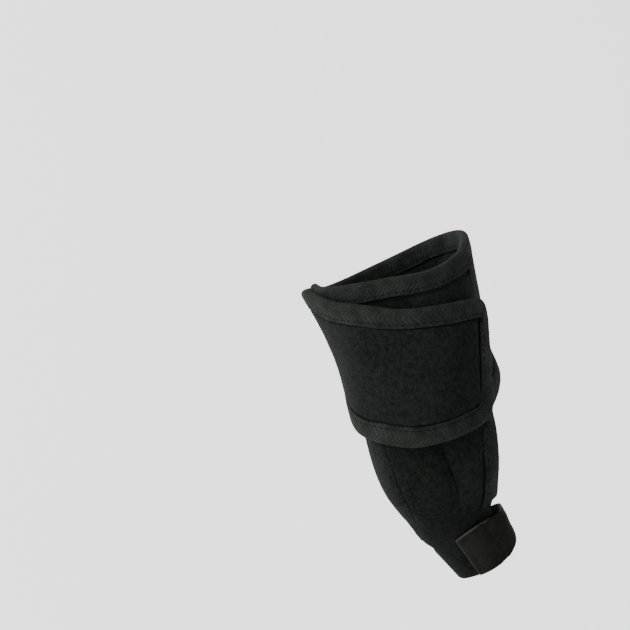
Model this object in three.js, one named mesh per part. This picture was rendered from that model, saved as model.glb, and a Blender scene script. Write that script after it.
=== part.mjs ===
// A bunion corrector for a left foot, closed as it is worn. A padded panel lies along the inner side of the foot,
// with a splint pocket sewn on it. A wide strap goes once round the midfoot and closes over the panel. A loop and
// a hook tab hold the big toe. The edges are bound in folded twill tape.
// +X points to the toes, +Y to the outer side of the foot and +Z up from its sole. Lengths are in millimetres.
import * as THREE from "three";

// The foot that the corrector is shaped on.
const footLength = 240;
const ballWidth = 92;
const instepHeight = 80;
const toeWidth = 27;
const toeHeight = 24;
const roundness = 2.3; // 2 would make each quarter of a section an ellipse

// Walls of the cloths. Padded cloth is pressed flat where a tape is folded round its edge.
const paddedWall = 2.4;
const pressedWall = 1.0;
const tapeWall = 1.0;
const pocketWall = 1.4;
const toeLoopWall = 1.6;
const tabWall = 1.2;
const clearance = 0.3; // between two cloths that touch
const facetSag = 0.2; // more where a cloth lies over another on a tight curve
const skinGap = 0.1; // between the foot and what touches it first

// Cuts of the cloths.
const tapeWidth = 8;
const pressedWidth = tapeWidth + 1.6; // the padding stays flat a little past its tape
const pressRamp = 2.4; // how far the padding takes to rise beside a tape
const strapCorner = 10; // radius of the strap's two free corners
const pocketWidth = 23;
const pocketStart = 124; // stations along the foot, from the heel
const pocketEnd = 192;
const toeEnd = 219;
const toeLoopStart = 198.5;
const toeLoopSlant = 5; // the loop starts further on between the toes
const tabStart = 201;
const tabLength = 19.4; // along the toe
const tabBulge = 2.2; // the tab widens towards the toe's tip

// Turns round the foot, from the middle of its inner side over the instep.
const seamHeelTurn = 0.21; // where the strap is sewn to the panel, at its heel edge
const seamToeTurn = 0.245;
const strapEndHeelTurn = 1.244; // where the strap ends, one turn on
const strapEndToeTurn = 1.208;
const soleTurn = -0.172; // the panel's edge under the arch
const rampTurns = [0.73, 0.815]; // where the strap climbs on the panel
const pocketTurns = [0.865, 0.965, 1.08, 1.175]; // where it goes over the pocket
const toeLoopEndTurn = -0.6;
const tabTurns = [0.018, 0.53];
const tabDropTurns = [0.25, 0.355]; // where the tab comes down from the panel to the loop

// Sections of the foot. "along" is a share of the foot's length. "side", "inner" and "outer" are shares of the
// ball's width: where the centre is, and how far the section reaches each way. "level", "top" and "bottom" are
// shares of the instep's height. "roll" raises the inner side, in degrees.
const instepSections = [
  { along: 0.35, side: 0.114, level: 0.6, inner: 0.337, outer: 0.364, top: 0.4875, bottom: 0.35, roll: 26 },
  { along: 0.417, side: 0.087, level: 0.55, inner: 0.359, outer: 0.386, top: 0.479, bottom: 0.335, roll: 23 },
  { along: 0.5, side: 0.049, level: 0.465, inner: 0.391, outer: 0.421, top: 0.4625, bottom: 0.305, roll: 18 },
  { along: 0.583, side: -0.016, level: 0.369, inner: 0.408, outer: 0.467, top: 0.426, bottom: 0.288, roll: 12 },
  { along: 0.658, side: -0.098, level: 0.291, inner: 0.396, outer: 0.533, top: 0.38, bottom: 0.2825, roll: 6 },
  { along: 0.717, side: -0.212, level: 0.25, inner: 0.3065, outer: 0.609, top: 0.35, bottom: 0.254, roll: 1 },
  { along: 0.775, side: -0.275, level: 0.225, inner: 0.228, outer: 0.5, top: 0.305, bottom: 0.2275, roll: 0 },
  { along: 0.817, side: -0.298, level: 0.196, inner: 0.19, outer: 0.34, top: 0.23, bottom: 0.2, roll: 0 },
];
// Here "inner" and "outer" are shares of the big toe's width, and "level", "top" and "bottom" of its height.
const toeSections = [
  { along: 0.85, side: -0.305, level: 0.59, inner: 0.57, outer: 0.6, top: 0.5, bottom: 0.585, roll: 0 },
  { along: 0.883, side: -0.3065, level: 0.535, inner: 0.525, outer: 0.489, top: 0.455, bottom: 0.53, roll: 0 },
  { along: 0.925, side: -0.3065, level: 0.475, inner: 0.504, outer: 0.444, top: 0.39, bottom: 0.458, roll: 0 },
  { along: 0.992, side: -0.2935, level: 0.4, inner: 0.452, outer: 0.389, top: 0.3, bottom: 0.375, roll: 0 },
];
// The strap's two edges, as shares of the foot's length, for each turn round the foot.
const strapEdges = [
  { turn: 0.18, heel: 0.4715, toe: 0.718 },
  { turn: 0.3, heel: 0.467, toe: 0.717 },
  { turn: 0.42, heel: 0.46, toe: 0.702 },
  { turn: 0.55, heel: 0.4375, toe: 0.671 },
  { turn: 0.7, heel: 0.392, toe: 0.621 },
  { turn: 0.83, heel: 0.362, toe: 0.587 },
  { turn: 0.94, heel: 0.413, toe: 0.617 },
  { turn: 1.04, heel: 0.4775, toe: 0.669 },
  { turn: 1.15, heel: 0.525, toe: 0.707 },
  { turn: 1.3, heel: 0.57, toe: 0.717 },
];
// The panel's heel edge, as a share of the foot's length, from its sole edge (0) to its seam (1).
const panelHeelEdge = [
  { across: 0, along: 0.359 },
  { across: 0.25, along: 0.382 },
  { across: 0.5, along: 0.4195 },
  { across: 0.75, along: 0.4585 },
  { across: 1, along: 0.474 },
];
// How far the panel reaches from the middle of the inner side, as shares of the ball's width, ahead of the strap.
const panelReach = [
  { along: 0.717, sole: -0.413, instep: 0.57 },
  { along: 0.745, sole: -0.405, instep: 0.525 },
  { along: 0.775, sole: -0.395, instep: 0.438 },
  { along: 0.804, sole: -0.315, instep: 0.362 },
  { along: 0.8265, sole: -0.25, instep: 0.302 },
  { along: 0.838, sole: -0.225, instep: 0.248 },
  { along: 0.87, sole: -0.2, instep: 0.225 },
  { along: 0.925, sole: -0.18, instep: 0.217 },
];
// The middle of the pocket, from the middle of the inner side, as a share of the ball's width.
const pocketLine = [
  { along: 0.46, middle: 0.01 },
  { along: 0.617, middle: 0.025 },
  { along: 0.692, middle: 0.06 },
  { along: 0.742, middle: 0.05 },
  { along: 0.8, middle: -0.005 },
];

// Where each cloth lies, as heights of its middle above the foot.
const pressedHalf = pressedWall / 2;
const foldGap = pressedHalf + clearance + facetSag;
const tapeHalf = foldGap + tapeWall;
const firstLayer = skinGap + tapeHalf;
const panelTop = firstLayer + paddedWall / 2;
const pocketLayer = panelTop + clearance + facetSag + pocketWall / 2;
const strapOverPanel = firstLayer + tapeHalf + clearance + tapeHalf;
const strapOverPocket = pocketLayer + pocketWall / 2 + clearance + facetSag + tapeHalf;
const toeLoopUnder = skinGap + toeLoopWall / 2;
const tabOverPanel = panelTop + clearance + facetSag + tabWall / 2;
const tabOverLoop = toeLoopUnder + toeLoopWall / 2 + 2 * (clearance + facetSag) + tabWall / 2;
const tapeInset = tapeWall + clearance + pressedHalf; // from the folded edge to the cloth's cut edge

const { lerp, smoothstep, clamp } = THREE.MathUtils;

// A column of a table at a value of its first column, on a smooth curve through the rows.
function column(rows, by, name, value) {
  const last = rows.length - 1;
  let i = 0;
  while (i < last - 1 && value > rows[i + 1][by]) i += 1;
  const slope = (k) => {
    const before = rows[Math.max(k - 1, 0)];
    const after = rows[Math.min(k + 1, last)];
    return (after[name] - before[name]) / (after[by] - before[by]);
  };
  const span = rows[i + 1][by] - rows[i][by];
  const t = (value - rows[i][by]) / span;
  if (t < 0) return rows[i][name] + slope(i) * span * t;
  if (t > 1) return rows[i + 1][name] + slope(i + 1) * span * (t - 1);
  const from = rows[i][name] * (1 + 2 * t) * (1 - t) ** 2 + slope(i) * span * t * (1 - t) ** 2;
  return from + rows[i + 1][name] * t * t * (3 - 2 * t) + slope(i + 1) * span * t * t * (t - 1);
}

// The tables of sections in millimetres, as one table.
const footSections = [
  ...instepSections.map((row) => scaledSection(row, ballWidth, instepHeight)),
  ...toeSections.map((row) => scaledSection(row, toeWidth, toeHeight)),
];

function scaledSection(row, width, height) {
  return {
    x: row.along * footLength,
    side: row.side * ballWidth,
    level: row.level * height,
    inner: row.inner * width,
    outer: row.outer * width,
    top: row.top * height,
    bottom: row.bottom * height,
    roll: THREE.MathUtils.degToRad(row.roll),
  };
}

// One section of the foot: its outline from the middle of the inner side over the instep, with the length so far.
const sectionSteps = 144;
const sectionsMade = new Map();

function footSection(x) {
  const key = x.toFixed(4);
  if (sectionsMade.has(key)) return sectionsMade.get(key);
  const row = {};
  for (const name of ["side", "level", "inner", "outer", "top", "bottom", "roll"]) {
    row[name] = column(footSections, "x", name, x);
  }
  const points = [];
  const lengths = [0];
  for (let i = 0; i <= sectionSteps; i += 1) {
    const angle = (2 * Math.PI * i) / sectionSteps;
    const [c, s] = [Math.cos(angle), Math.sin(angle)];
    const across = -Math.sign(c) * (c > 0 ? row.inner : row.outer) * Math.abs(c) ** (2 / roundness);
    const up = Math.sign(s) * (s > 0 ? row.top : row.bottom) * Math.abs(s) ** (2 / roundness);
    points.push(
      new THREE.Vector2(
        row.side + across * Math.cos(row.roll) + up * Math.sin(row.roll),
        row.level - across * Math.sin(row.roll) + up * Math.cos(row.roll),
      ),
    );
    if (i > 0) lengths.push(lengths[i - 1] + points[i].distanceTo(points[i - 1]));
  }
  const section = { points, lengths, girth: lengths[sectionSteps], side: row.side, level: row.level };
  sectionsMade.set(key, section);
  return section;
}

// The point of the foot at a station and a turn round it.
function onFoot(x, turn) {
  const { points, lengths, girth } = footSection(x);
  const length = (turn - Math.floor(turn)) * girth;
  let [low, high] = [0, sectionSteps];
  while (high - low > 1) {
    const middle = (low + high) >> 1;
    if (lengths[middle] <= length) low = middle;
    else high = middle;
  }
  const share = (length - lengths[low]) / (lengths[high] - lengths[low]);
  const point = points[low].clone().lerp(points[high], share);
  return new THREE.Vector3(x, point.x, point.y);
}

// How the foot's surface runs at a point: along the foot, round it, and straight out of it.
function footAxes(x, turn) {
  const [dx, dTurn] = [1.5, 0.012];
  const along = onFoot(x + dx, turn).sub(onFoot(x - dx, turn)).divideScalar(2 * dx);
  const round = onFoot(x, turn + dTurn).sub(onFoot(x, turn - dTurn)).divideScalar(2 * dTurn);
  return { along, round, out: along.clone().cross(round).normalize() };
}

function above(x, turn, height) {
  return onFoot(x, turn).addScaledVector(footAxes(x, turn).out, height);
}

// A cloth as a closed solid. at(i, j) says where the middle of the cloth lies, { x, turn, lift, half }: half is
// half of its wall there. Columns run along it and rows across.
function clothSolid(columns, rows, at) {
  const skins = [1, -1].map((side) =>
    Array.from({ length: columns * rows }, (_, k) => {
      const place = at(Math.floor(k / rows), k % rows);
      return above(place.x, place.turn, place.lift + side * place.half);
    }),
  );
  return stitched(skins[0], skins[1], columns, rows);
}

// Joins an outer and an inner skin of the same grid into one closed solid whose faces point out.
function stitched(outer, inner, columns, rows) {
  const positions = [...outer, ...inner].flatMap((p) => p.toArray());
  const below = outer.length;
  const index = [];
  const quad = (a, b, c, d) => index.push(a, b, c, a, c, d);
  const k = (i, j) => i * rows + j;
  for (let i = 0; i < columns - 1; i += 1) {
    for (let j = 0; j < rows - 1; j += 1) {
      quad(k(i, j), k(i + 1, j), k(i + 1, j + 1), k(i, j + 1));
      quad(below + k(i, j), below + k(i, j + 1), below + k(i + 1, j + 1), below + k(i + 1, j));
    }
    quad(k(i + 1, 0), k(i, 0), below + k(i, 0), below + k(i + 1, 0));
    quad(k(i, rows - 1), k(i + 1, rows - 1), below + k(i + 1, rows - 1), below + k(i, rows - 1));
  }
  for (let j = 0; j < rows - 1; j += 1) {
    quad(k(0, j), k(0, j + 1), below + k(0, j + 1), below + k(0, j));
    quad(k(columns - 1, j + 1), k(columns - 1, j), below + k(columns - 1, j), below + k(columns - 1, j + 1));
  }
  const geometry = new THREE.BufferGeometry();
  geometry.setAttribute("position", new THREE.Float32BufferAttribute(positions, 3));
  geometry.setIndex(index);
  return facingOut(geometry);
}

// Turns the faces round if the solid's volume comes out negative.
function facingOut(geometry) {
  const [position, index] = [geometry.getAttribute("position"), geometry.getIndex()];
  const [a, b, c] = [new THREE.Vector3(), new THREE.Vector3(), new THREE.Vector3()];
  let volume = 0;
  for (let i = 0; i < index.count; i += 3) {
    a.fromBufferAttribute(position, index.getX(i));
    b.fromBufferAttribute(position, index.getX(i + 1));
    c.fromBufferAttribute(position, index.getX(i + 2));
    volume += a.dot(b.cross(c));
  }
  if (volume < 0) {
    for (let i = 0; i < index.count; i += 3) {
      const second = index.getX(i + 1);
      index.setX(i + 1, index.getX(i + 2));
      index.setX(i + 2, second);
    }
  }
  geometry.computeVertexNormals();
  return geometry;
}

// A tape folded round an edge. The path is the folded edge, as { x, turn }, with the cloth on its left when inward
// is 1, and liftAt(turn) is where the cloth's middle lies. The fold is a bevelled U: how far in from the edge, and
// how far above the cloth's middle.
function foldedTape(path, inward, liftAt) {
  const fold = (sides, tip, half) => [
    [tapeWidth, half],
    [tip + sides, half],
    [tip, half * 0.45],
    [tip, -half * 0.45],
    [tip + sides, -half],
    [tapeWidth, -half],
  ];
  const outerFold = fold(tapeWall, 0, tapeHalf);
  const innerFold = fold(clearance, tapeWall, foldGap);
  const [outer, inner] = [[], []];
  path.forEach((place, i) => {
    const before = path[Math.max(i - 1, 0)];
    const after = path[Math.min(i + 1, path.length - 1)];
    const step = { x: after.x - before.x, turn: after.turn - before.turn };
    const { along, round, out } = footAxes(place.x, place.turn);
    const forward = along.clone().multiplyScalar(step.x).addScaledVector(round, step.turn);
    const aside = out.clone().cross(forward).normalize().multiplyScalar(inward);
    const [ss, st, tt] = [along.dot(along), along.dot(round), round.dot(round)];
    const [a, b] = [aside.dot(along), aside.dot(round)];
    const scale = ss * tt - st * st;
    const inX = (a * tt - b * st) / scale;
    const inTurn = (b * ss - a * st) / scale;
    const point = ([w, h]) => {
      const turn = place.turn + inTurn * w;
      return above(place.x + inX * w, turn, liftAt(turn) + h);
    };
    outer.push(...outerFold.map(point));
    inner.push(...innerFold.map(point));
  });
  return stitched(outer, inner, path.length, outerFold.length);
}

function placesApart(a, b) {
  return onFoot(a.x, a.turn).distanceTo(onFoot(b.x, b.turn));
}

// How much longer the way in from an edge is along a row of the cloth than straight in.
function lean(place, before, after, inner) {
  const edge = onFoot(after.x, after.turn).sub(onFoot(before.x, before.turn));
  const row = onFoot(inner.x, inner.turn).sub(onFoot(place.x, place.turn));
  return 1 / Math.sin(edge.angleTo(row));
}

// Half of a padded cloth's wall, a distance in from its nearest bound edge.
function halfWall(distance) {
  return lerp(pressedHalf, paddedWall / 2, clamp((distance - pressedWidth) / pressRamp, 0, 1));
}

// The midfoot strap. u runs from its seam to its end, v from its heel edge to its toe edge.
const strapEndLength = 18; // the part at its end where the corners are rounded
const nearEnd = 0.95;
const strapLength = placesApart(onStrap(nearEnd, 0.5), onStrap(1, 0.5)) / (1 - nearEnd);
const strapStations = Array.from({ length: 55 }, (_, k) => (k / 54) * (1 - strapEndLength / strapLength));

function strapLift(turn) {
  const climb = lerp(firstLayer, strapOverPanel, smoothstep(turn, ...rampTurns));
  const [rise, high, fall, low] = pocketTurns;
  const over = smoothstep(turn, rise, high) - smoothstep(turn, fall, low);
  return climb + (strapOverPocket - strapOverPanel) * over;
}

function onStrap(u, v) {
  const heelTurn = lerp(seamHeelTurn, strapEndHeelTurn, u);
  const toeTurn = lerp(seamToeTurn, strapEndToeTurn, u);
  const heel = column(strapEdges, "turn", "heel", heelTurn);
  const toe = column(strapEdges, "turn", "toe", toeTurn);
  const turn = lerp(heelTurn, toeTurn, v);
  return { x: lerp(heel, toe, v) * footLength, turn, lift: strapLift(turn) };
}

function strapWidthAt(u) {
  return placesApart(onStrap(u, 0), onStrap(u, 1));
}

function strapLean(u, v) {
  return lean(onStrap(u, v), onStrap(u - 0.01, v), onStrap(u + 0.01, v), onStrap(u, lerp(v, 0.5, 0.2)));
}

function midfootStrap() {
  const corner = strapCorner - tapeInset;
  const rowsIn = [0, 0.3, 0.65].map((share) => lerp(tapeInset, pressedWidth, share));
  rowsIn.push(...[0, 1, 3.5].map((ramps) => pressedWidth + ramps * pressRamp));
  const rows = 2 * rowsIn.length;
  const endColumns = [
    { fromEnd: pressedWidth + pressRamp, rounded: 0.45 },
    { fromEnd: pressedWidth, rounded: 0.6 },
    { fromEnd: tapeInset, rounded: 1 },
  ];
  const plain = strapStations.length;
  return clothSolid(plain + endColumns.length, rows, (i, j) => {
    const fromEdge = rowsIn[Math.min(j, rows - 1 - j)];
    const cut = Math.max(corner - (fromEdge - tapeInset), 0);
    const rounding = corner - Math.sqrt(corner * corner - cut * cut);
    const end = endColumns[i - plain];
    const fromSeam = i === 0 ? clearance / strapLength : strapStations[i];
    const u = end ? 1 - (end.fromEnd + rounding * end.rounded) / strapLength : fromSeam;
    const heelSide = j < rowsIn.length;
    const share = (fromEdge * strapLean(u, heelSide ? 0 : 1)) / strapWidthAt(u);
    const place = onStrap(u, heelSide ? share : 1 - share);
    return { ...place, half: halfWall(end ? Math.min(fromEdge, end.fromEnd) : fromEdge) };
  });
}

function strapBinding() {
  const around = strapCorner / strapLength;
  const across = strapCorner / strapWidthAt(1);
  const cornerSteps = 5;
  const side = [0.014, ...strapStations.slice(1), 1 - (1.4 * strapCorner) / strapLength, 1 - around];
  const half = side.map((u) => [u, 0]);
  for (let i = 1; i <= cornerSteps; i += 1) {
    const angle = (Math.PI / 2) * (i / cornerSteps);
    half.push([1 - around * (1 - Math.sin(angle)), across * (1 - Math.cos(angle))]);
  }
  const end = [1, 2, 3].map((k) => [1, lerp(across, 1 - across, k / 4)]);
  const mirrored = half.map(([u, v]) => [u, 1 - v]).reverse();
  return foldedTape([...half, ...end, ...mirrored].map(([u, v]) => onStrap(u, v)), -1, strapLift);
}

// The panel. v runs from its sole edge to the seam, and ahead of the seam to its front edge.
const seamStartX = column(strapEdges, "turn", "heel", seamHeelTurn) * footLength;
const seamEndX = column(strapEdges, "turn", "toe", seamToeTurn) * footLength;
const webX = panelReach[4].along * footLength; // between the toes: ahead of here the panel has no tape
const heelLean = 1.07; // the heel edge runs aslant

function panelEdgeTurns(x) {
  const { girth } = footSection(x);
  const reach = (name) => (column(panelReach, "along", name, x / footLength) * ballWidth) / girth;
  const ahead = smoothstep(x, seamEndX - tapeWidth, seamEndX + 3);
  const sole = x > seamEndX - tapeWidth ? lerp(soleTurn, reach("sole"), ahead) : soleTurn;
  const share = Math.max((x - seamStartX) / (seamEndX - seamStartX), 0);
  return { sole, instep: share < 1 ? lerp(seamHeelTurn, seamToeTurn, share) : reach("instep") };
}

function onPanel(x, v) {
  const { sole, instep } = panelEdgeTurns(x);
  return { x, turn: lerp(sole, instep, v), lift: firstLayer };
}

function panelHeelX(v) {
  return column(panelHeelEdge, "across", "along", v) * footLength;
}

function panelHeight(x) {
  const { sole, instep } = panelEdgeTurns(x);
  return (instep - sole) * footSection(x).girth;
}

// Where the edge bends, its steepest place near by counts.
function panelLean(x, v) {
  const at = (m) => lean(onPanel(m, v), onPanel(m - 1.5, v), onPanel(m + 1.5, v), onPanel(m, lerp(v, 0.5, 0.2)));
  return Math.max(at(x - 4), at(x), at(x + 4));
}

// The panel and its tapes stand on the same stations ahead of the strap's seam.
const spread = (from, to, count) => Array.from({ length: count }, (_, k) => lerp(from, to, (k + 1) / count));
const besideTapes = [...spread(seamEndX, webX - tapeWidth, 6), ...spread(webX - tapeWidth, webX, 4)];

function bodyPanel() {
  const stepsIn = [tapeInset, lerp(tapeInset, pressedWidth, 0.5), pressedWidth, pressedWidth + pressRamp];
  const deepest = stepsIn.length - 1;
  const underStrap = spread(0, 1, 11);
  const ahead = [...besideTapes, webX + tapeWidth / 2, ...spread(webX + tapeWidth / 2, toeEnd, 4)];
  const columns = stepsIn.length + underStrap.length + ahead.length;
  const middle = 7;
  const rows = 2 * stepsIn.length + middle;
  const station = (i, v) => {
    const heel = panelHeelX(v);
    if (i < stepsIn.length) return heel + stepsIn[i] * heelLean;
    const k = i - stepsIn.length;
    if (k < underStrap.length) return lerp(heel + stepsIn[deepest] * heelLean, seamEndX, underStrap[k]);
    return ahead[k - underStrap.length];
  };
  return clothSolid(columns, rows, (i, j) => {
    // The row's share is found at the middle station first, since the heel edge makes the station depend on it.
    let v = j / (rows - 1);
    let x = station(i, v);
    let half = 0;
    for (let pass = 0; pass < 3; pass += 1) {
      const height = panelHeight(x);
      const sewn = x < seamEndX - 0.5;
      const [soleLean, instepLean] = [panelLean(x, 0), sewn ? 1 : panelLean(x, 1)];
      const room = height / 2 / (pressedWidth + pressRamp + 2);
      const fromSole = stepsIn.map((d) => d * Math.min(soleLean, room));
      const fromTop = stepsIn.map((d) => d * Math.min(instepLean, room) - (sewn ? tapeInset - clearance : 0));
      const [low, high] = [fromSole[deepest] / height, 1 - fromTop[deepest] / height];
      const between = Array.from({ length: middle }, (_, k) => lerp(low, high, (k + 1) / (middle + 1)));
      v = [...fromSole.map((d) => d / height), ...between, ...fromTop.map((d) => 1 - d / height).reverse()][j];
      x = station(i, v);
      const fromHeel = (x - panelHeelX(v)) / heelLean;
      const open = x < seamEndX - tapeWidth / 2;
      const inSole = (v * height) / soleLean;
      const inTop = open ? Infinity : ((1 - v) * height) / instepLean;
      const bound = 1 - smoothstep(x, webX + tapeWidth / 4, webX + (3 * tapeWidth) / 4);
      half = lerp(paddedWall / 2, halfWall(Math.min(inSole, inTop, fromHeel)), bound);
    }
    return { ...onPanel(x, v), half };
  });
}

const onFirstLayer = () => firstLayer;

function panelHeelBinding() {
  const steps = Array.from({ length: 17 }, (_, k) => 1 - k / 16);
  return foldedTape(steps.map((v) => onPanel(panelHeelX(v), v)), 1, onFirstLayer);
}

function panelSoleBinding() {
  const from = panelHeelX(0) + (tapeWidth + 2 * clearance) * heelLean;
  const stations = [from, ...spread(from, seamEndX, 12), ...besideTapes.slice(0, -1), toeLoopStart - 1];
  return foldedTape(stations.map((x) => onPanel(x, 0)), 1, onFirstLayer);
}

function panelFrontBinding() {
  const stations = [seamEndX + 0.6, ...besideTapes];
  return foldedTape(stations.map((x) => onPanel(x, 1)), -1, onFirstLayer);
}

// The pocket for the splint: a pile strip sewn on the panel, domed over the stay inside it.
function splintPocket() {
  const [columns, rows] = [24, 9];
  return clothSolid(columns, rows, (i, j) => {
    const x = lerp(pocketStart, pocketEnd, i / (columns - 1));
    const across = lerp(-1, 1, j / (rows - 1));
    const narrow = smoothstep(x, pocketStart, pocketStart + 5) * (1 - 0.25 * smoothstep(x, pocketEnd - 8, pocketEnd));
    const middle = column(pocketLine, "along", "middle", x / footLength) * ballWidth;
    const turn = (middle + (across * pocketWidth * lerp(0.7, 1, narrow)) / 2) / footSection(x).girth;
    const dome = 1 - 0.45 * Math.abs(across) ** 4;
    const half = (pocketWall / 2) * dome;
    return { x, turn, lift: pocketLayer - pocketWall / 2 + half, half };
  });
}

// The loop round the big toe: butted to the panel's sole edge, up between the toes and under the tab.
function toeLoop() {
  const [columns, rows] = [22, 8];
  return clothSolid(columns, rows, (i, j) => {
    const along = i / (columns - 1);
    const x = lerp(toeLoopStart + toeLoopSlant * smoothstep(along, 0, 0.5), toeEnd + 1, j / (rows - 1));
    const edge = panelEdgeTurns(x).sole - clearance / footSection(x).girth;
    const drop = smoothstep(along, 0, 0.25);
    return { x, turn: lerp(edge, toeLoopEndTurn, along), lift: lerp(firstLayer, toeLoopUnder, drop), half: toeLoopWall / 2 };
  });
}

// The hook tab over the top of the toe: straight where it is sewn on, round at its free end.
function toeTab() {
  const [columns, rows] = [20, 10];
  return clothSolid(columns, rows, (i, j) => {
    const u = i / (columns - 1);
    const across = lerp(-1, 1, j / (rows - 1));
    const turn = lerp(tabTurns[0], tabTurns[1], u * (1 - 0.2 * Math.abs(across) ** 3));
    const width = tabLength / 2 + tabBulge * Math.sin(Math.PI * Math.min(u * 1.3, 1));
    const toeSide = j / (rows - 1);
    const bend = smoothstep(u, lerp(0.3, 0.6, toeSide), lerp(0.8, 1, toeSide));
    const round = Math.sqrt(1 - lerp(0.95, 0.8, toeSide) * bend * bend);
    const x = tabStart + tabLength / 2 + across * width * round;
    const lift = lerp(tabOverPanel, tabOverLoop, smoothstep(turn, ...tabDropTurns));
    return { x, turn, lift, half: tabWall / 2 };
  });
}

// Colours and finishes of the cloths.
const paddedCloth = { color: 0x1e2121, roughness: 0.95, metalness: 0 };
const pileCloth = { color: 0x131515, roughness: 1, metalness: 0 };
const twillTape = { color: 0x2c3030, roughness: 0.9, metalness: 0 };
const tabCloth = { color: 0x1b1b1a, roughness: 0.75, metalness: 0 };

const pieces = {
  body_panel: [bodyPanel, paddedCloth],
  splint_pocket: [splintPocket, pileCloth],
  midfoot_strap: [midfootStrap, paddedCloth],
  toe_loop: [toeLoop, pileCloth],
  toe_tab: [toeTab, tabCloth],
  strap_binding: [strapBinding, twillTape],
  panel_heel_binding: [panelHeelBinding, twillTape],
  panel_sole_binding: [panelSoleBinding, twillTape],
  panel_front_binding: [panelFrontBinding, twillTape],
};

// The origin is the middle of the strap's hollow, where the foot fills it.
const seatX = 0.545 * footLength;
const seat = footSection(seatX);
const corrector = new THREE.Group();
corrector.position.set(-seatX, -seat.side, -seat.level);
for (const [name, [make, finish]] of Object.entries(pieces)) {
  const mesh = new THREE.Mesh(make(), new THREE.MeshStandardMaterial(finish));
  mesh.name = name;
  corrector.add(mesh);
}

export default corrector;
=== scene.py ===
"""A bunion corrector for the left side, in its worn form: near-black brushed cloth bound in herringbone tape.

Every piece is laid over one long rounded form. Lengths are in millimetres on that form, until a mesh is made
in metres from the object's own origin. A place on the form is a station x along it and a turn, which is a
share of the way round it, 0 on its inner side and growing over its top.
"""

from math import cos, radians, sin

import bpy
import numpy as np
from mathutils import Matrix, Vector


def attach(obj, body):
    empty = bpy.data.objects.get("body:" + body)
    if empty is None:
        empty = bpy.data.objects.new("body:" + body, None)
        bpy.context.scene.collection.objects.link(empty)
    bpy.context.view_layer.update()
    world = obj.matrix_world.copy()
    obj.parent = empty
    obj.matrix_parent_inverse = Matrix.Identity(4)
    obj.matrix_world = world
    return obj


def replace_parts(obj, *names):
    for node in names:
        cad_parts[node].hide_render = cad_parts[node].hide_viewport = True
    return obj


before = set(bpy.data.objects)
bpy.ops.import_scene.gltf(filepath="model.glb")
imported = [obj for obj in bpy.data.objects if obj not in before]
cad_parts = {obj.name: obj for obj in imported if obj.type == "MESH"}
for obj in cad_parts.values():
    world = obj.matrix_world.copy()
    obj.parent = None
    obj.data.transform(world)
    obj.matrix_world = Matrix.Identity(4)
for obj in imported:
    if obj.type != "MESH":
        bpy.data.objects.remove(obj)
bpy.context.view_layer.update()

# Sizes in millimetres, shared with the solids
FORM_LENGTH, BALL_WIDTH, INSTEP_HEIGHT = 240.0, 92.0, 80.0
TIP_WIDTH, TIP_HEIGHT = 27.0, 24.0
ROUNDNESS = 2.3  # exponent of the form's sections: 2 is an ellipse, more is squarer
PADDED, PRESSED, TAPE = 2.4, 1.0, 1.0
POCKET, LOOP, TAB = 1.4, 1.6, 1.2
CLEARANCE, SAG, SKIN = 0.3, 0.2, 0.1
TAPE_WIDTH = 8.0
CORNER = 10.0
POCKET_WIDTH, POCKET_START, POCKET_END = 23.0, 124.0, 192.0
TOE_END, LOOP_START, LOOP_SLANT = 219.0, 198.5, 5.0
LOOP_LAP, LOOP_TAPER = 3.0, 8.0  # how far the loop is sewn into the panel's edge, and narrows under the tab
TAB_START, TAB_LENGTH, TAB_BULGE = 201.0, 19.4, 2.2
SEAT_SHARE = 0.545  # of the form's length, where the object's origin is

# Turns
SEAM_HEEL, SEAM_TOE = 0.21, 0.245  # the strap's seam on the panel, at its heel edge and its toe edge
END_HEEL, END_TOE = 1.244, 1.208  # the strap's end, at the same edges
SOLE_TURN, LOOP_END = -0.172, -0.6  # the panel's sole edge under the strap, and the toe loop's end
RAMP_TURNS = (0.73, 0.815)  # where the strap climbs on the panel
POCKET_TURNS = (0.865, 0.965, 1.08, 1.175)  # and where it climbs on the pocket, and comes down again
TAB_TURNS = (0.018, 0.53)
TAB_DROP = (0.25, 0.355)  # where the tab comes down on the loop

# Heights above the form of the middle of each layer
FOLD_GAP = PRESSED / 2 + CLEARANCE + SAG
TAPE_HALF = FOLD_GAP + TAPE
FIRST = SKIN + TAPE_HALF
PANEL_TOP = FIRST + PADDED / 2
POCKET_LIFT = PANEL_TOP + CLEARANCE + SAG + POCKET / 2
OVER_PANEL = FIRST + 2 * TAPE_HALF + CLEARANCE
OVER_POCKET = POCKET_LIFT + POCKET / 2 + CLEARANCE + SAG + TAPE_HALF
LOOP_LIFT = SKIN + LOOP / 2
TAB_LIFT = PANEL_TOP + CLEARANCE + SAG + TAB / 2
TAB_LOW = LOOP_LIFT + LOOP / 2 + 2 * (CLEARANCE + SAG) + TAB / 2
INSET = TAPE + CLEARANCE + PRESSED / 2

# Sizes of the finish
PRESSED_WIDTH, RAMP = TAPE_WIDTH - 0.1, 1.3  # the cloth is pressed to there, and then swells over this length
END_TAPE, FRONT_TAPE = 10.4, 11.6  # the two stretches of tape whose face spreads wider, round a steep side
PILE_SLANT = 3.5  # the pile reaches further on over the top than underneath
STITCH, STITCH_IN = 2.9, 1.5  # from one stitch to the next, and from the tape's lip to their row
STITCH_GAP, THREAD_RADIUS = 0.35, 0.19  # half of the gap between two stitches, and of the thread
LOFT, LOFT_MORE, LOFT_FADE = 0.2, 0.35, 5.0  # how far the brushed face swells, and more beside the tape
FOLD_REACH, FOLD_INSIDE = 2.0, (1.0, 1.2)  # the fold's half round outside, and inside its start and reach
LIP_DROOP, LIP_WANDER = 0.2, 0.3
TAPE_PUCKER, TAPE_PUFF = 0.04, 0.03  # shares of the tape's height, by the stitch and over longer stretches
TAPES_MEET = 0.014  # the share of the strap's length at which its tape starts, where the panel's tapes end
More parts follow.
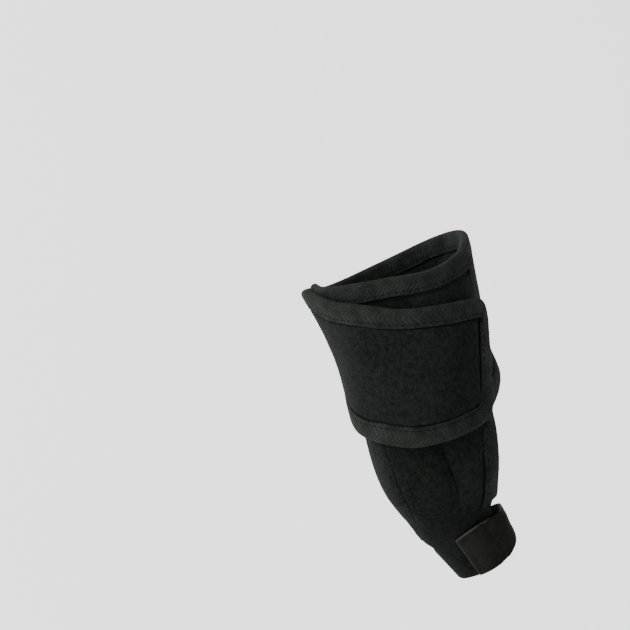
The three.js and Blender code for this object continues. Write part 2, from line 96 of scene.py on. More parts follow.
HEEL_LEAN = 1.07  # how much longer the way in from the slanted heel edge is along the form than straight in
POCKET_SEAM_IN = 1.7  # from the pocket's edge to its row of stitches
POCKET_PULL, POCKET_SINK = 0.25, 1.5  # how far it is pulled down on the panel, and sinks in at its toe end
THREAD_IN, POCKET_THREAD_IN = 0.22, 0.16  # how deep the stitches lie in the tape and in the pocket
WRINKLES, PILE_STARTS = (172.0, 185.0), (184.0, 200.0)  # stations where the panel's wrinkles and pile set in
LOOP_RUN, TAB_RUN = 50.0, 41.0  # from the start of each to its end
TAB_SEAM_IN = 2.1
TAB_CREASES = {"start": [8.5, 14.0], "slant": [-0.12, 0.1], "width": [0.9, 1.6], "depth": [0.55, 0.4]}

# Shares of the form's sizes, as in the solids
INSTEP_SECTIONS = {
    "along": [0.35, 0.417, 0.5, 0.583, 0.658, 0.717, 0.775, 0.817],
    "side": [0.114, 0.087, 0.049, -0.016, -0.098, -0.212, -0.275, -0.298],
    "level": [0.6, 0.55, 0.465, 0.369, 0.291, 0.25, 0.225, 0.196],
    "inner": [0.337, 0.359, 0.391, 0.408, 0.396, 0.3065, 0.228, 0.19],
    "outer": [0.364, 0.386, 0.421, 0.467, 0.533, 0.609, 0.5, 0.34],
    "top": [0.4875, 0.479, 0.4625, 0.426, 0.38, 0.35, 0.305, 0.23],
    "bottom": [0.35, 0.335, 0.305, 0.288, 0.2825, 0.254, 0.2275, 0.2],
    "roll": [26, 23, 18, 12, 6, 1, 0, 0],
}
TIP_SECTIONS = {
    "along": [0.85, 0.883, 0.925, 0.992],
    "side": [-0.305, -0.3065, -0.3065, -0.2935],
    "level": [0.59, 0.535, 0.475, 0.4],
    "inner": [0.57, 0.525, 0.504, 0.452],
    "outer": [0.6, 0.489, 0.444, 0.389],
    "top": [0.5, 0.455, 0.39, 0.3],
    "bottom": [0.585, 0.53, 0.458, 0.375],
    "roll": [0, 0, 0, 0],
}
STRAP_EDGES = {
    "turn": [0.18, 0.3, 0.42, 0.55, 0.7, 0.83, 0.94, 1.04, 1.15, 1.3],
    "heel": [0.4715, 0.467, 0.46, 0.4375, 0.392, 0.362, 0.413, 0.4775, 0.525, 0.57],
    "toe": [0.718, 0.717, 0.702, 0.671, 0.621, 0.587, 0.617, 0.669, 0.707, 0.717],
}
PANEL_HEEL = {"across": [0, 0.25, 0.5, 0.75, 1], "along": [0.359, 0.382, 0.4195, 0.4585, 0.474]}
PANEL_REACH = {
    "along": [0.717, 0.745, 0.775, 0.804, 0.8265, 0.838, 0.87, 0.925],
    "sole": [-0.413, -0.405, -0.395, -0.315, -0.25, -0.225, -0.2, -0.18],
    "instep": [0.57, 0.525, 0.438, 0.362, 0.302, 0.248, 0.225, 0.217],
}
POCKET_LINE = {
    "along": [0.46, 0.617, 0.692, 0.742, 0.8],
    "middle": [0.01, 0.025, 0.06, 0.05, -0.005],
}


def smooth(value, low, high):
    """0 below low, 1 above high, and 3t^2 - 2t^3 between them."""
    t = np.clip((np.asarray(value, float) - low) / (high - low), 0, 1)
    return t * t * (3 - 2 * t)


def mix(a, b, t):
    """a at t = 0 and b at t = 1, on a straight line."""
    return a + (b - a) * t


def curve(table, by, name, value):
    """The column `name` at values of the column `by`: cubic Hermite, its slopes taken across neighbours."""
    keys, column = np.array(table[by], float), np.array(table[name], float)
    value = np.asarray(value, float)
    slope = np.gradient(column)
    slope[1:-1] = (column[2:] - column[:-2]) / (keys[2:] - keys[:-2])
    slope[0] = (column[1] - column[0]) / (keys[1] - keys[0])
    slope[-1] = (column[-1] - column[-2]) / (keys[-1] - keys[-2])
    i = np.clip(np.searchsorted(keys, value, side="left") - 1, 0, len(keys) - 2)
    span = keys[i + 1] - keys[i]
    raw = (value - keys[i]) / span
    t = np.clip(raw, 0, 1)
    start = column[i] * (1 + 2 * t) * (1 - t) ** 2 + slope[i] * span * t * (1 - t) ** 2
    end = column[i + 1] * t * t * (3 - 2 * t) + slope[i + 1] * span * t * t * (t - 1)
    past = np.where(raw < 0, slope[i] * span * raw, np.where(raw > 1, slope[i + 1] * span * (raw - 1), 0))
    return start + end + past


def form_sections():
    """The two tables of sections in millimetres, as one table: each share times the size that it follows."""
    high, wide = ("level", "top", "bottom"), ("inner", "outer")
    sizes = {"along": FORM_LENGTH, "side": BALL_WIDTH, "roll": 1.0}
    instep = sizes | dict.fromkeys(high, INSTEP_HEIGHT) | dict.fromkeys(wide, BALL_WIDTH)
    tip = sizes | dict.fromkeys(high, TIP_HEIGHT) | dict.fromkeys(wide, TIP_WIDTH)
    joined = {}
    for name in INSTEP_SECTIONS:
        joined[name] = [share * instep[name] for share in INSTEP_SECTIONS[name]]
        joined[name] += [share * tip[name] for share in TIP_SECTIONS[name]]
    return joined


class Form:
    """The form as grids over station and turn: its points, its two slopes and its normals."""

    first, last, step = 74.0, 236.0, 0.5  # stations
    turns, angles = 720, 1440  # places in a turn, and the steps of angle that they are read from
    slope_step, slope_turns = 3, 9  # stations and places each way for a slope

    def __init__(self):
        """Each quarter of a section is |y/a|^n + |z/b|^n = 1, n being ROUNDNESS, walked at even steps."""
        table = form_sections()
        self.x = np.arange(self.first, self.last, self.step)
        row = {name: curve(table, "along", name, self.x)[:, None] for name in table}
        angle = np.linspace(0, 2 * np.pi, self.angles + 1)
        c, s = np.cos(angle), np.sin(angle)
        across = -np.sign(c) * np.abs(c) ** (2 / ROUNDNESS) * np.where(c > 0, row["inner"], row["outer"])
        up = np.sign(s) * np.abs(s) ** (2 / ROUNDNESS) * np.where(s > 0, row["top"], row["bottom"])
        roll = np.radians(row["roll"])
        y = row["side"] + across * np.cos(roll) + up * np.sin(roll)
        z = row["level"] - across * np.sin(roll) + up * np.cos(roll)
        walked = np.pad(np.cumsum(np.hypot(np.diff(y), np.diff(z)), axis=1), ((0, 0), (1, 0)))
        self.girth = walked[:, -1]
        lap = 2.0 * np.arange(len(self.x))[:, None]
        place, even = walked / walked[:, -1:] + lap, np.linspace(0, 1, self.turns + 1) + lap
        y, z = (np.interp(even, place.ravel(), part.ravel()) for part in (y, z))
        self.points = np.stack([np.broadcast_to(self.x[:, None], y.shape), y, z], -1)
        station = np.arange(len(self.x))
        low = np.maximum(station - self.slope_step, 0)
        high = np.minimum(station + self.slope_step, len(self.x) - 1)
        self.along = (self.points[high] - self.points[low]) / ((high - low) * self.step)[:, None, None]
        ring, reach = self.points[:, :-1], self.slope_turns
        around = (np.roll(ring, -reach, 1) - np.roll(ring, reach, 1)) * (self.turns / (2.0 * reach))
        self.around = np.concatenate([around, around[:, :1]], 1)
        normal = np.cross(self.along, self.around)
        self.normal = normal / np.linalg.norm(normal, axis=-1, keepdims=True)

    def read(self, grid, x, turn):
        """A grid's value at stations and turns, bilinear between its nodes."""
        i = np.clip((np.asarray(x, float) - self.x[0]) / self.step, 0, len(self.x) - 1.001)
        j = np.mod(np.asarray(turn, float), 1.0) * self.turns
        i0, j0 = np.floor(i).astype(int), np.minimum(np.floor(j).astype(int), self.turns - 1)
        a, b = (i - i0)[..., None], (j - j0)[..., None]
        near = grid[i0, j0] * (1 - b) + grid[i0, j0 + 1] * b
        return near * (1 - a) + (grid[i0 + 1, j0] * (1 - b) + grid[i0 + 1, j0 + 1] * b) * a

    def point(self, x, turn, lift=0.0):
        """The point a height above the form: its point there, and that height along its normal."""
        x, turn, lift = np.broadcast_arrays(x, turn, lift)
        return self.read(self.points, x, turn) + self.read(self.normal, x, turn) * lift[..., None]

    def girth_at(self, x):
        """The length round the form at a station."""
        return np.interp(x, self.x, self.girth)


form = Form()
seat_x = SEAT_SHARE * FORM_LENGTH
SEAT = np.array([seat_x, *(curve(form_sections(), "along", name, seat_x) for name in ("side", "level"))])


def to_frame(points):
    """Millimetres on the form as metres from the object's origin, which is the seat inside the strap."""
    return (np.asarray(points) - SEAT) / 1000.0


# Camera: the photographed view, rolled about its own axis as the picture is
IMAGE = 630.0
AZIMUTH, ELEVATION, ROLL = (radians(angle) for angle in (-13.0, 32.0, 55.0))
LENS_PX, DISTANCE = 2365.0, 1.0
TARGET, TARGET_PX = to_frame([150.0, -10.0, 25.0]), (413.5, 395.5)
back = Vector((sin(AZIMUTH) * cos(ELEVATION), -cos(AZIMUTH) * cos(ELEVATION), sin(ELEVATION)))
level = Vector((cos(AZIMUTH), sin(AZIMUTH), 0.0))
upright = back.cross(level)
side = cos(ROLL) * level + sin(ROLL) * upright
over = -sin(ROLL) * level + cos(ROLL) * upright
straight = Matrix((side, over, back)).transposed()
to_target = Vector((TARGET_PX[0] - IMAGE / 2, IMAGE / 2 - TARGET_PX[1], -LENS_PX)).normalized()
turned = (straight @ to_target).rotation_difference(-back).to_matrix()
camera = bpy.data.objects.new("camera", bpy.data.cameras.new("camera"))
camera.data.sensor_width = 36.0
camera.data.lens = LENS_PX / IMAGE * 36.0
camera.data.clip_start, camera.data.clip_end = 0.05, 50.0
camera.data.dof.use_dof = False
camera.matrix_world = Matrix.Translation(Vector(TARGET) + back * DISTANCE) @ (turned @ straight).to_4x4()
bpy.context.scene.collection.objects.link(camera)
bpy.context.scene.camera = camera

# Materials: every pattern's scale is 1000 over a real size in mm, as the coordinates are in metres
NOISE, MATH, RANGE = "ShaderNodeTexNoise", "ShaderNodeMath", "ShaderNodeMapRange"
MIX, ATTRIBUTE = "ShaderNodeMix", "ShaderNodeAttribute"
FACTOR, FIRST_COLOUR, SECOND_COLOUR, MIXED = 0, 6, 7, 2  # places of a colour Mix node's sockets


def linear(code):
    """An sRGB hex colour as linear RGBA."""
    parts = [int(code[i : i + 2], 16) / 255.0 for i in (1, 3, 5)]
    return [p / 12.92 if p <= 0.04045 else ((p + 0.055) / 1.055) ** 2.4 for p in parts] + [1.0]


def node(tree, kind, sockets=(), give=0, **values):
    """Adds a shader node, sets its values and its inputs by name or place, and returns its output `give`."""
    made = tree.nodes.new(kind)
    for key, value in values.items():
        setattr(made, key, value)
    for key, value in dict(sockets).items():
        if isinstance(value, bpy.types.NodeSocket):
            tree.links.new(value, made.inputs[key])
        else:
            made.inputs[key].default_value = value
    return made.outputs[give]


def start_material(name, **settings):
    """A new material: its tree, its Principled inputs, and the object's own coordinates in metres."""
    material = bpy.data.materials.new(name)
    material.use_nodes = True
    tree = material.node_tree
    tree.nodes.clear()
    shader = node(tree, "ShaderNodeBsdfPrincipled")
    tree.links.new(shader, tree.nodes.new("ShaderNodeOutputMaterial").inputs["Surface"])
    for key, value in settings.items():
        shader.node.inputs[key.replace("_", " ")].default_value = value
    return material, tree, shader.node.inputs, node(tree, "ShaderNodeTexCoord", give="Object")


def brushed_cloth(name, dark, light, clump, depth, pile=None):
    """Brushed loop cloth: three noises, of clumps of fibres, of matted spots over three times as wide, and of
    worn patches, share out two colours, and the first two raise the face. Where the mesh's "pile" is 1, the
    colours `pile` take over. Clump and depth are in mm."""
    material, tree, shader, place = start_material(name, Roughness=0.95, Specular_IOR_Level=0.04)
    fibre = node(tree, NOISE, {"Vector": place, "Scale": 1000 / clump, "Detail": 2.0, "Roughness": 0.6})
    matted = node(tree, NOISE, {"Vector": place, "Scale": 300 / clump, "Detail": 3.0, "Roughness": 0.65})
    patches = node(tree, NOISE, {"Vector": place, "Scale": 1000 / PATCH, "Detail": 3.0, "Roughness": 0.55})
    share = node(tree, MATH, {0: patches, 1: 0.5}, operation="MULTIPLY")
    share = node(tree, MATH, {0: matted, 1: 0.9, 2: share}, operation="MULTIPLY_ADD")
    share = node(tree, MATH, {0: fibre, 1: 0.75, 2: share}, operation="MULTIPLY_ADD")
    share = node(tree, RANGE, {"Value": share, "From Min": 0.8, "From Max": 1.38})
    colours = {FACTOR: share, FIRST_COLOUR: linear(dark), SECOND_COLOUR: linear(light)}
    colour = node(tree, MIX, colours, MIXED, data_type="RGBA")
    if pile:
        colours = {FACTOR: share, FIRST_COLOUR: linear(pile[0]), SECOND_COLOUR: linear(pile[1])}
        other = node(tree, MIX, colours, MIXED, data_type="RGBA")
        here = node(tree, ATTRIBUTE, give="Fac", attribute_name="pile")
        colours = {FACTOR: here, FIRST_COLOUR: colour, SECOND_COLOUR: other}
        colour = node(tree, MIX, colours, MIXED, data_type="RGBA")
    tree.links.new(colour, shader["Base Color"])
    shader["Sheen Weight"].default_value = 0.05
    shader["Sheen Roughness"].default_value = 0.45
    shader["Sheen Tint"].default_value = linear("#8f9a96")
    raised = node(tree, MATH, {0: fibre, 1: 0.6, 2: matted}, operation="MULTIPLY_ADD")
    bump = node(tree, "ShaderNodeBump", {"Height": raised, "Distance": depth / 1000})
    tree.links.new(bump, shader["Normal"])
    return material


def herringbone_tape(name, dark, light):
    """Twill tape from its own map in mm, (along, across): ribs are a sine of along plus a share of the way
    across a zigzag band, so that they lean one way and then the other, and a noise wears them off."""
    material, tree, shader, place = start_material(name, Roughness=0.92, Specular_IOR_Level=0.05)
    cloth = node(tree, "ShaderNodeUVMap", uv_map="cloth")
    chart = node(tree, "ShaderNodeSeparateXYZ", {0: cloth}).node.outputs
    drift = node(tree, NOISE, {"Vector": place, "Scale": 1000 / DRIFT, "Detail": 2.0})
    along = node(tree, MATH, {0: drift, 1: DRIFT_REACH, 2: chart[0]}, operation="MULTIPLY_ADD")
    across = node(tree, MATH, {0: chart[1], 1: BAND_START}, operation="ADD")
    across = node(tree, MATH, {0: across, 1: BAND}, operation="PINGPONG")
    slanted = node(tree, MATH, {0: across, 1: RIB_LEAN, 2: along}, operation="MULTIPLY_ADD")
    wave = node(tree, MATH, {0: slanted, 1: 2 * np.pi / RIB}, operation="MULTIPLY")
    wave = node(tree, MATH, {0: wave}, operation="SINE")
    ribs = node(tree, MATH, {0: wave, 1: 0.5, 2: 0.5}, operation="MULTIPLY_ADD")
    fuzz = node(tree, NOISE, {"Vector": place, "Scale": 1000 / FUZZ, "Detail": 3.0, "Roughness": 0.7})
    worn = node(tree, NOISE, {"Vector": place, "Scale": 1000 / WORN, "Detail": 3.0, "Roughness": 0.6})
    shown = {"Value": worn, "From Min": 0.35, "From Max": 0.65, "To Min": 0.06, "To Max": 0.36}
    share = node(tree, MATH, {0: ribs, 1: node(tree, RANGE, shown), 2: fuzz}, operation="MULTIPLY_ADD")
    share = node(tree, MATH, {0: worn, 1: 0.9, 2: share}, operation="MULTIPLY_ADD")
    share = node(tree, RANGE, {"Value": share, "From Min": 0.55, "From Max": 1.5})
    colours = {FACTOR: share, FIRST_COLOUR: linear(dark), SECOND_COLOUR: linear(light)}
    tree.links.new(node(tree, MIX, colours, MIXED, data_type="RGBA"), shader["Base Color"])
    shader["Sheen Weight"].default_value = 0.05
    shader["Sheen Roughness"].default_value = 0.4
    shader["Sheen Tint"].default_value = linear("#9aa5a0")
    raised = node(tree, MATH, {0: ribs, 1: 0.7, 2: fuzz}, operation="MULTIPLY_ADD")
    bump = node(tree, "ShaderNodeBump", {"Height": raised, "Distance": RIB_DEPTH / 1000})
    tree.links.new(bump, shader["Normal"])
    return material


def hook_cloth(name, dark, light, rim):
    """Close smooth hook cloth: a fine noise and a soft one share out two colours, and where the mesh's
    "rim" is 1, along its cut edge, a paler colour takes over."""
    material, tree, shader, place = start_material(name, Roughness=0.85, Specular_IOR_Level=0.06)
    hooks = node(tree, NOISE, {"Vector": place, "Scale": 1000 / HOOKS, "Detail": 2.0, "Roughness": 0.55})
    mottle = node(tree, NOISE, {"Vector": place, "Scale": 1000 / MOTTLE, "Detail": 4.0, "Roughness": 0.6})
    share = node(tree, MATH, {0: hooks, 1: 0.7, 2: mottle}, operation="MULTIPLY_ADD")
    share = node(tree, RANGE, {"Value": share, "From Min": 0.5, "From Max": 1.2})
    colours = {FACTOR: share, FIRST_COLOUR: linear(dark), SECOND_COLOUR: linear(light)}
    colour = node(tree, MIX, colours, MIXED, data_type="RGBA")
    edge = node(tree, ATTRIBUTE, give="Fac", attribute_name="rim")
    colours = {FACTOR: edge, FIRST_COLOUR: colour, SECOND_COLOUR: linear(rim)}
    tree.links.new(node(tree, MIX, colours, MIXED, data_type="RGBA"), shader["Base Color"])
    raised = node(tree, MATH, {0: hooks, 1: 0.5, 2: mottle}, operation="MULTIPLY_ADD")
    bump = node(tree, "ShaderNodeBump", {"Height": raised, "Distance": HOOK_DEPTH / 1000})
    tree.links.new(bump, shader["Normal"])
    return material


def spun_thread(name, dark, light):
    """Spun thread: a noise as fine as its plies shares out two near colours."""
    material, tree, shader, place = start_material(name, Roughness=0.85, Specular_IOR_Level=0.1)
    plies = node(tree, NOISE, {"Vector": place, "Scale": 1000 / PLY, "Detail": 1.0})
    colours = {FACTOR: plies, FIRST_COLOUR: linear(dark), SECOND_COLOUR: linear(light)}
    tree.links.new(node(tree, MIX, colours, MIXED, data_type="RGBA"), shader["Base Color"])
    return material


PATCH = 22.0  # stretches of cloth that were brushed a little more, or less
RIB = 1.7  # from rib to rib; the real twill's 0.6 mm is too fine to show, so it is drawn this coarse
RIB_LEAN, RIB_DEPTH = 0.9, 0.3  # how far a rib runs along the tape for each mm across it, and its relief
BAND, BAND_START = 4.4, 0.4  # across the tape, from one turn of the herringbone to the next
DRIFT, DRIFT_REACH, WORN = 3.3, 1.3, 6.0  # how far apart and how far the ribs wander, and where they are worn
FUZZ = 0.65  # lint on the tape; the real fibres are finer, and it is drawn as coarse as it shows
HOOKS, HOOK_DEPTH, MOTTLE = 0.4, 0.3, 4.5  # rows of hooks on the tab, their relief, and soft clouds over them
PLY = 0.3  # a twist of the thread

# Foam-backed loop knit, brushed: a matt, soft near-black with a faint green cast and short matted fibres.
# Its single fibres are too fine to show, so they are drawn as clumps 0.55 mm across, with a relief of 0.6 mm.
LAMINATE = brushed_cloth("brushed_loop_laminate", "#080a09", "#1d201e", 0.55, 0.6)
# Loop pile for the hook tabs, left long: deeper black, in coarser clumps.
PILE = brushed_cloth("loop_pile", "#050606", "#171917", 0.8, 1.1)
# The panel is the laminate, and runs into pile at its toe end.
PANEL = brushed_cloth("laminate_into_pile", "#080a09", "#1e221f", 0.6, 0.8, ("#050606", "#171917"))
# Cotton twill tape, woven in a herringbone: greyer than the cloth, ribbed and linty.
TWILL = herringbone_tape("cotton_twill_tape", "#0a0c0b", "#272b28")
# Moulded hook cloth, its back flocked: smoother and browner than the pile, with a pale cut edge.
HOOK = hook_cloth("flocked_hook_cloth", "#0a0a09", "#20201d", "#34332f")
# Spun polyester sewing thread: dull black, so that the seams show by their dents first.
THREAD = spun_thread("spun_polyester_thread", "#050605", "#0f100f")
# Matt white board, lit from underneath as a light table is, so that it shows nearly white.
WHITE = linear("#ffffff")
BOARD_GLOW = {"Emission_Color": WHITE, "Emission_Strength": 1.3}
FLOOR = start_material("matt_white_board", Base_Color=WHITE, Roughness=0.9, **BOARD_GLOW)[0]


def make_mesh(name, points, faces, material, chart=None, weights=None, weigh="rim"):
    """A mesh object at the origin from points in millimetres and quads, with its map and its weights if it
    has them. Its faces are turned round where the volume they close, a sum of triple products, is under 0."""
    a, b, c, d = (points[faces[:, k]] for k in range(4))
    if (a * np.cross(b, c)).sum() + (a * np.cross(c, d)).sum() < 0:
        faces = faces[:, ::-1]
    mesh = bpy.data.meshes.new(name)
    mesh.from_pydata(to_frame(points).tolist(), [], faces.tolist())
    mesh.update()
    mesh.polygons.foreach_set("use_smooth", np.ones(len(mesh.polygons), bool))
    corner = np.empty(len(mesh.loops), int)
    mesh.loops.foreach_get("vertex_index", corner)
    if chart is not None:
        places = np.asarray(chart, np.float32)[corner]
        mesh.uv_layers.new(name="cloth").data.foreach_set("uv", places.ravel())
    if weights is not None:
        values = np.asarray(weights, np.float32)
        mesh.attributes.new(weigh, "FLOAT", "POINT").data.foreach_set("value", values)
    mesh.materials.append(material)
    made = bpy.data.objects.new(name, mesh)
    bpy.context.scene.collection.objects.link(made)
    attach(made, "root")
    return made


def quads(grid):
    """The quads of a grid of vertex numbers."""
    return np.stack([grid[:-1, :-1], grid[1:, :-1], grid[1:, 1:], grid[:-1, 1:]], -1).reshape(-1, 4)


def shell(outer, inner):
    """One closed body from an outer and an inner grid of points: both skins and four rims."""
    rows, columns = outer.shape[:2]
    top = np.arange(rows * columns).reshape(rows, columns)
    under = top + rows * columns
    faces = [quads(top), quads(under)[:, ::-1]]
    faces += [quads(np.stack([under[:, 0], top[:, 0]], 1)), quads(np.stack([top[:, -1], under[:, -1]], 1))]
    faces += [quads(np.stack([top[0], under[0]], 1)), quads(np.stack([under[-1], top[-1]], 1))]
    return np.concatenate([outer.reshape(-1, 3), inner.reshape(-1, 3)]), np.concatenate(faces)


def spaced(count, length, fine):
    """Places from 0 to length, a straight run less a sine: they lie closer within `fine` of both ends."""
    t = np.linspace(0, 1, count)
    slow = min(fine * 3.0 / length, 0.45)
    return (t - slow / (2 * np.pi) * 0.9 * np.sin(2 * np.pi * t)) * length


def rounded(distance, radius):
    """How thick an edge is, as a share, a distance in from it: a quarter circle of that radius."""
    t = np.clip(distance / radius, 0, 1)
    return np.sqrt(np.clip(1 - (1 - t) ** 2, 0.0, 1))


def ripple(position, seed, lengths=(23.0, 11.0, 5.3)):
    """A wandering value, about -1 to 1, along a length in mm: three sines with fixed phases."""
    total = 0.0
    for k, wave in enumerate(lengths):
        phase = seed * 2.4 + k * 1.7
        total = total + np.sin(2 * np.pi * position / wave + phase) / (k + 1.4)
    return total / 1.6


def groove(distance, width, depth):
    """A dip of that depth along a line: a bell curve of the distance from it over width."""
    return -depth * np.exp(-((distance / width) ** 2))


def half_wall(distance):
    """Half of a padded cloth's wall, a distance in from its bound edge: pressed, then a smooth rise."""
    return mix(PRESSED / 2, PADDED / 2, smooth(distance, PRESSED_WIDTH, PRESSED_WIDTH + RAMP))


def loft(distance):
    """How far the brushed face swells above the wall, a distance in: most beside the tape."""
    swell = LOFT + LOFT_MORE * np.exp(-((distance - TAPE_WIDTH) / LOFT_FADE))
    return smooth(distance, PRESSED_WIDTH + 0.2, PRESSED_WIDTH + 1.7) * swell


def lean(place, u, v, step, inward):
    """How much longer the way in from an edge is along a row than straight in: 1 over the sine of the
    angle between the edge and the row, where place(u, v) gives station and turn."""
    edge = form.point(*place(u + step, v)) - form.point(*place(u - step, v))
    row = form.point(*place(u, v + inward)) - form.point(*place(u, v))
    edge /= np.linalg.norm(edge, axis=-1, keepdims=True)
    row /= np.linalg.norm(row, axis=-1, keepdims=True)
    return 1 / np.linalg.norm(np.cross(edge, row), axis=-1)


def lay(name, x, turn, lift, half, material, relief=0.0, chart=None, weights=None, weigh="rim"):
    """A cloth over the form: its middle at lift above (x, turn), half a wall each way, relief outside."""
    x, turn, lift, half, relief = np.broadcast_arrays(x, turn, lift, half, relief)
    points, faces = shell(form.point(x, turn, lift + half + relief), form.point(x, turn, lift - half))
    if chart is not None:
        chart = np.concatenate([chart.reshape(-1, 2)] * 2)
    if weights is not None:
        weights = np.concatenate([weights.ravel()] * 2)
    return make_mesh(name, points, faces, material, chart, weights, weigh)


def walk(points):
    """The length along a line of points, from its start."""
    return np.concatenate([[0], np.cumsum(np.linalg.norm(np.diff(points, axis=0), axis=1))])


def along_line(points, count):
    """Points at even steps along a line of points."""
    length = walk(points)
    even = np.linspace(0, length[-1], count)
    return np.stack([np.interp(even, length, column) for column in points.T], 1)


def fold_section():
    """The folded tape's section, as an outer and an inner row of (in from the fold, above its middle): each
    face flat from its lip, then a half circle round the fold, with a dip at the stitches and the lip."""
    top = np.linspace(TAPE_WIDTH, FOLD_REACH, 13)
    droop = LIP_DROOP * smooth(top, 5.0, TAPE_WIDTH) ** 2
    rise = TAPE_HALF - droop + groove(top - (TAPE_WIDTH - STITCH_IN), 0.7, 0.2)
    bend = np.linspace(np.pi / 2, -np.pi / 2, 13)[1:-1]
    fold = np.stack([FOLD_REACH * (1 - np.cos(bend)), TAPE_HALF * np.sin(bend)], 1)
    face = np.stack([top, rise], 1)
    outer = np.concatenate([face, fold, (face * [1, -1])[::-1]])
    bend = np.linspace(np.pi / 2, -np.pi / 2, 9)
    start, reach = FOLD_INSIDE
    fold = np.stack([start + reach * (1 - np.cos(bend)), FOLD_GAP * np.sin(bend)], 1)
    inner = np.concatenate([[(TAPE_WIDTH, FOLD_GAP)], fold, [(TAPE_WIDTH, -FOLD_GAP)]])
    return outer, along_line(inner, len(outer))


def edge_axes(x, turn, inward):
    """For a path on the form, how far a step of 1 mm straight in from it goes in x and in turn: the step
    that is square to the path and to the form's normal, solved in the form's two slopes."""
    along, around = form.read(form.along, x, turn), form.read(form.around, x, turn)
    forward = along * np.gradient(x)[:, None] + around * np.gradient(turn)[:, None]
    aside = np.cross(form.read(form.normal, x, turn), forward) * inward
    aside /= np.linalg.norm(aside, axis=1, keepdims=True)
    ss, st, tt = (along**2).sum(1), (along * around).sum(1), (around**2).sum(1)
    a, b = (aside * along).sum(1), (aside * around).sum(1)
    return (a * tt - b * st) / (ss * tt - st * st), (b * ss - a * st) / (ss * tt - st * st)


def folded_tape(name, x, turn, inward, lift_at, seed, width=TAPE_WIDTH):
    """A tape folded round the edge (x, turn): the section swept along it and widened to width, its lip
    wandering a little, and dented between stitches. Its map runs along the edge and across the tape."""
    outer, inner = fold_section()
    in_x, in_turn = edge_axes(x, turn, inward)
    length = walk(form.point(x, turn, FIRST))
    wide = np.broadcast_to(np.asarray(width, float) / TAPE_WIDTH, x.shape)[:, None]
    wander = LIP_WANDER * ripple(length, seed)[:, None]
    dent = TAPE_PUCKER * np.cos(2 * np.pi * length / STITCH)[:, None]
    puff = 1 + TAPE_PUFF * ripple(length, seed + 3, (31.0, 9.0, 4.1))[:, None]
    skins = []
    for section, swells in ((outer, 1), (inner, 0)):
        w, h = section[:, 0][None, :], section[:, 1][None, :]
        stitched = smooth(w, 4.0, TAPE_WIDTH - STITCH_IN)
        h = h * mix(1.0, puff * (1 - dent * stitched), swells)
        w = w * mix(1.0, wide, smooth(w, 0, 2)) + wander * smooth(w, 3.0, TAPE_WIDTH)
        at = turn[:, None] + in_turn[:, None] * w
        skins.append(form.point(x[:, None] + in_x[:, None] * w, at, lift_at(at) + h))
    across = walk(outer)
    from_fold = across - across[len(outer) // 2]
    chart = np.stack(np.broadcast_arrays(length[:, None], from_fold), -1).reshape(-1, 2)
    points, faces = shell(*skins)
    made = make_mesh(name, points, faces, TWILL, np.concatenate([chart, chart]))
    line_x, line_turn = (start + step * (width - STITCH_IN) for start, step in ((x, in_x), (turn, in_turn)))
    for face in (1, -1):
        sew(line_x, line_turn, lift_at(line_turn) + face * (TAPE_HALF - THREAD_IN))
    return made


seams = []  # the centre lines of the stitches sewn so far


def sew(x, turn, lift, thick=THREAD_RADIUS):
    """Lockstitches along a line on the cloth: each is half a sine wave high, and dips in at both ends."""
    x, turn, lift = (np.asarray(part, float) for part in np.broadcast_arrays(x, turn, lift))
    length = walk(form.point(x, turn, lift))
    begin = np.arange(0.5, length[-1] - STITCH, STITCH)
    t = np.linspace(0, 1, 6)
    at = begin[:, None] + mix(STITCH_GAP, STITCH - STITCH_GAP, t)
    arch = np.interp(at, length, lift) + thick * (0.7 * np.sin(np.pi * t) - 0.45)
    seams.append(form.point(np.interp(at, length, x), np.interp(at, length, turn), arch))


def build_stitches():
    """All the stitches as one mesh of square tubes, thinner towards both ends: four points round each place
    of a line, on two axes that are square to it."""
    line = np.concatenate(seams)
    forward = np.gradient(line, axis=1)
    aside = np.cross(forward, [0.31, 0.52, 0.79])
    other = np.cross(forward, aside)
    axes = [axis / np.linalg.norm(axis, axis=-1, keepdims=True) for axis in (aside, other)]
    radius = THREAD_RADIUS * (0.55 + 0.45 * np.sin(np.pi * np.linspace(0, 1, line.shape[1])))[None, :, None]
    corners = [line + axis * radius for axis in (axes[0], axes[1], -axes[0], -axes[1])]
    points = np.stack(corners, 2).reshape(-1, 3)
    ring = np.arange(line.shape[1] * 4).reshape(-1, 4)
    one = np.concatenate([quads(np.concatenate([ring, ring[:, :1]], 1)), ring[:1], ring[-1:, ::-1]])
    faces = (one[None] + np.arange(len(line))[:, None, None] * ring.size).reshape(-1, 4)
    make_mesh("stitches", points, faces, THREAD)


def strap_place(u, v):
    """Station and turn of the strap: u from its seam to its end, v from its heel edge to its toe edge."""
    heel_turn, toe_turn = mix(SEAM_HEEL, END_HEEL, u), mix(SEAM_TOE, END_TOE, u)
    heel, toe = curve(STRAP_EDGES, "turn", "heel", heel_turn), curve(STRAP_EDGES, "turn", "toe", toe_turn)
    return mix(heel, toe, v) * FORM_LENGTH, mix(heel_turn, toe_turn, v)


def strap_lift(turn):
    """The strap's middle above the form: it climbs on the panel, and then over the pocket."""
    climb = mix(FIRST, OVER_PANEL, smooth(turn, *RAMP_TURNS))
    above = smooth(turn, *POCKET_TURNS[:2]) - smooth(turn, *POCKET_TURNS[2:])
    return climb + (OVER_POCKET - OVER_PANEL) * above


def apart(first, second):
    """How far apart two places on the form are, straight across."""
    return np.linalg.norm(form.point(*first) - form.point(*second), axis=-1)


STRAP_LENGTH = float(apart(strap_place(0.95, 0.5), strap_place(1.0, 0.5)) / 0.05)


